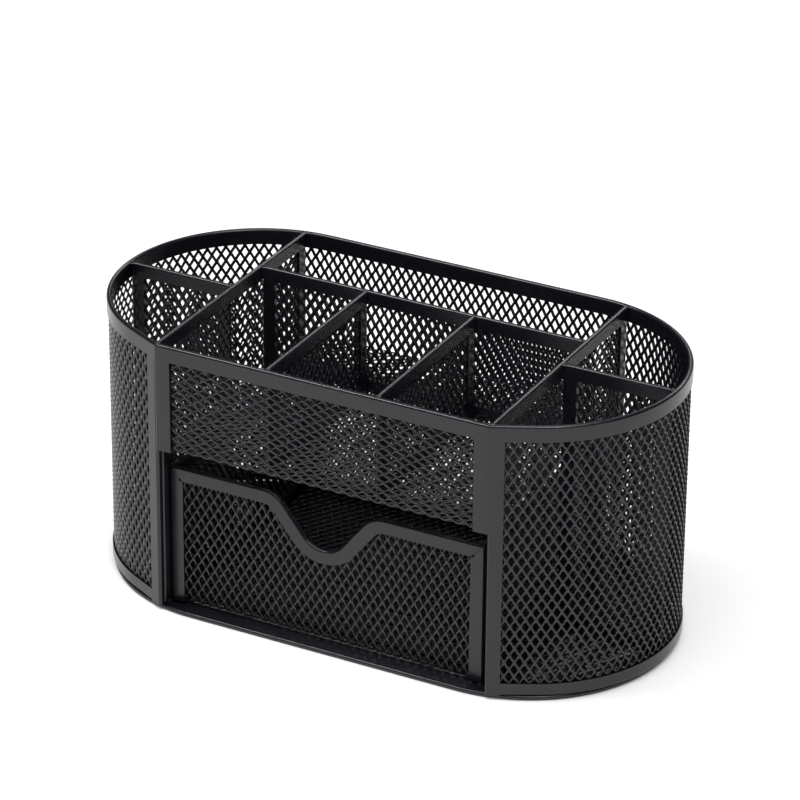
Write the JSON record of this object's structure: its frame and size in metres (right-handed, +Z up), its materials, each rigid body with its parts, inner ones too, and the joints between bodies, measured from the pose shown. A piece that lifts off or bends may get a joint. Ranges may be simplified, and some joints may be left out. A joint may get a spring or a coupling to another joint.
{
  "type": "pen stand with drawer",
  "caption": "Oval desk organizer of expanded metal mesh with pen compartments around a raised shelf and a drawer below it with a curved finger scoop.",
  "frame": {"origin": "centre of the outline at the base's underside, where it stands on the desk", "axes": "+X along the length, -Y out of the front, towards the side the drawer opens on, +Z up"},
  "size_m": [0.2184, 0.11, 0.106],
  "materials": {
    "mesh_metal": "satin powder coat on expanded steel mesh",
    "strip_metal": "satin powder coat on folded steel strip"
  },
  "bodies": {
    "housing": {"rolled_wall_mesh": "mesh_metal", "left_end_rim_strip": "strip_metal", "back_rim_strip": "strip_metal", "right_end_rim_strip": "strip_metal", "left_end_foot_strip": "strip_metal", "back_foot_strip": "strip_metal", "right_end_foot_strip": "strip_metal", "left_front_post": "strip_metal", "right_front_post": "strip_metal", "front_panel_and_shelf_mesh": "mesh_metal", "front_rim_strip": "strip_metal", "front_left_strip": "strip_metal", "front_right_strip": "strip_metal", "left_cross_divider_mesh": "mesh_metal", "left_cross_divider_frame": "strip_metal", "right_cross_divider_mesh": "mesh_metal", "right_cross_divider_frame": "strip_metal", "left_end_divider_mesh": "mesh_metal", "left_end_divider_frame": "strip_metal", "right_end_divider_mesh": "mesh_metal", "right_end_divider_frame": "strip_metal", "left_short_divider_mesh": "mesh_metal", "left_short_divider_frame": "strip_metal", "right_short_divider_mesh": "mesh_metal", "right_short_divider_frame": "strip_metal", "long_divider_mesh": "mesh_metal", "long_divider_frame": "strip_metal", "base_frame": "strip_metal", "floor_mesh": "mesh_metal"},
    "drawer": {"drawer_front_mesh": "mesh_metal", "drawer_front_top_strip": "strip_metal", "drawer_front_left_strip": "strip_metal", "drawer_front_right_strip": "strip_metal", "drawer_floor_mesh": "mesh_metal", "drawer_left_side_mesh": "mesh_metal", "drawer_left_side_frame": "strip_metal", "drawer_right_side_mesh": "mesh_metal", "drawer_right_side_frame": "strip_metal", "drawer_back_mesh": "mesh_metal", "drawer_back_frame": "strip_metal"}
  },
  "joints": [
    {"name": "drawer_slide", "type": "slide", "parent": "housing", "child": "drawer", "axis": [0, -1, 0], "range_m": [0, 0.085]}
  ]
}
